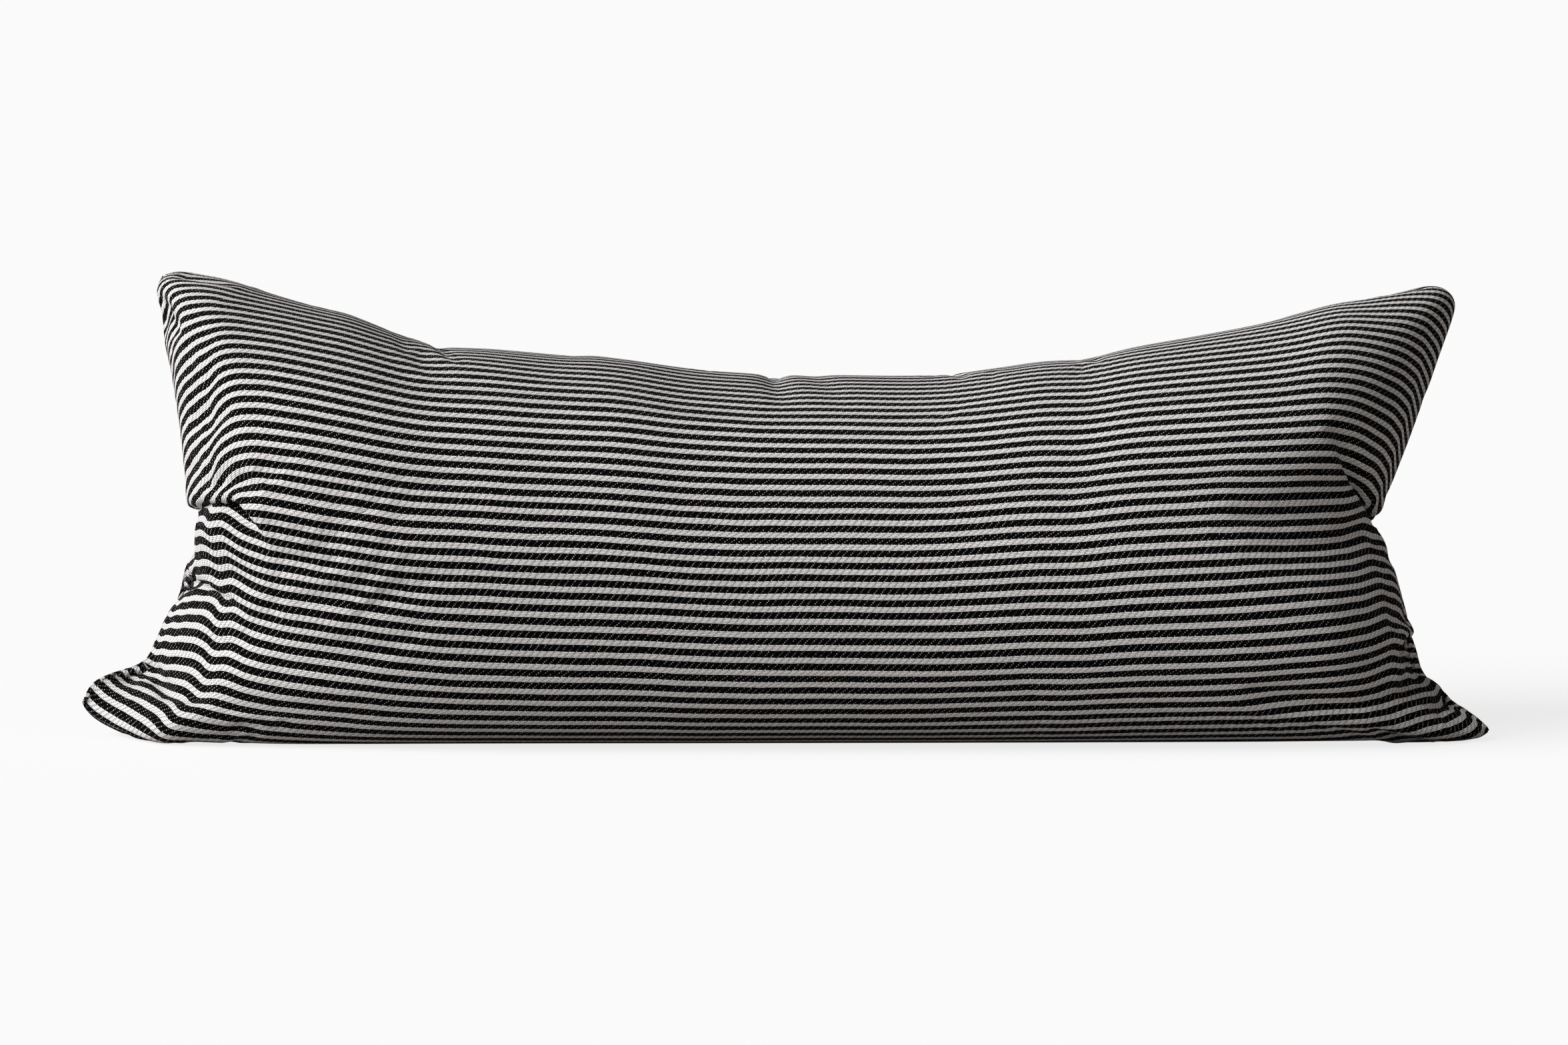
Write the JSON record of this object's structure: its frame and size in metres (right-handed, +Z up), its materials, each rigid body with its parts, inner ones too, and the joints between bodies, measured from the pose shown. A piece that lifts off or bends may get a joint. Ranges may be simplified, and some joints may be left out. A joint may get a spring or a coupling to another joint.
{
  "type": "throw pillow",
  "caption": "Long lumbar throw pillow in a striped twill cover with a zip along its bottom seam and a fibre-filled insert, standing on its long edge and leaning back.",
  "frame": {"origin": "centre of the pillow's bounding box in plan, at the floor it stands on", "axes": "+X along the pillow's length to the viewer's right, +Z up, -Y the front that faces the viewer"},
  "size_m": [0.916, 0.2646, 0.2841],
  "materials": {
    "striped_twill": "matte",
    "cover_thread": "matte",
    "zip_tape": "matte",
    "zip_thread": "matte",
    "zip_nylon": "satin",
    "zip_stop_metal": "satin",
    "zip_slider_metal": "satin",
    "zip_pull_metal": "satin",
    "label_satin": "satin",
    "insert_cotton": "matte",
    "insert_thread": "matte",
    "polyester_fibre": "matte"
  },
  "bodies": {
    "cover": {"cover_front_panel": "striped_twill", "cover_back_panel": "striped_twill", "cover_seam_thread_top": "cover_thread", "cover_seam_thread_left": "cover_thread", "cover_seam_thread_right": "cover_thread", "cover_care_label": "label_satin", "zip_tape_front": "zip_tape", "zip_tape_back": "zip_tape", "zip_coil_front": "zip_nylon", "zip_coil_back": "zip_nylon", "zip_stitching_front": "zip_thread", "zip_stitching_back": "zip_thread", "zip_top_stop_front": "zip_stop_metal", "zip_top_stop_back": "zip_stop_metal", "zip_bottom_stop": "zip_stop_metal", "insert_front_panel": "insert_cotton", "insert_back_panel": "insert_cotton", "insert_seam_thread_top": "insert_thread", "insert_seam_thread_bottom": "insert_thread", "insert_seam_thread_left": "insert_thread", "insert_seam_thread_right": "insert_thread", "insert_label": "label_satin", "fibre_fill": "polyester_fibre"},
    "slider": {"zip_slider": "zip_slider_metal"},
    "pull_tab": {"zip_pull_tab": "zip_pull_metal"}
  },
  "joints": [
    {"name": "zip_slide", "type": "slide", "parent": "cover", "child": "slider", "axis": [-1, 0, 0], "range_m": [0, 0.723]},
    {"name": "pull_tab_swing", "type": "hinge", "parent": "slider", "child": "pull_tab", "pos_m": [0.3625, -0.0633, 0.0038], "axis": [0, -1, 0], "range_deg": [0, 175]}
  ]
}
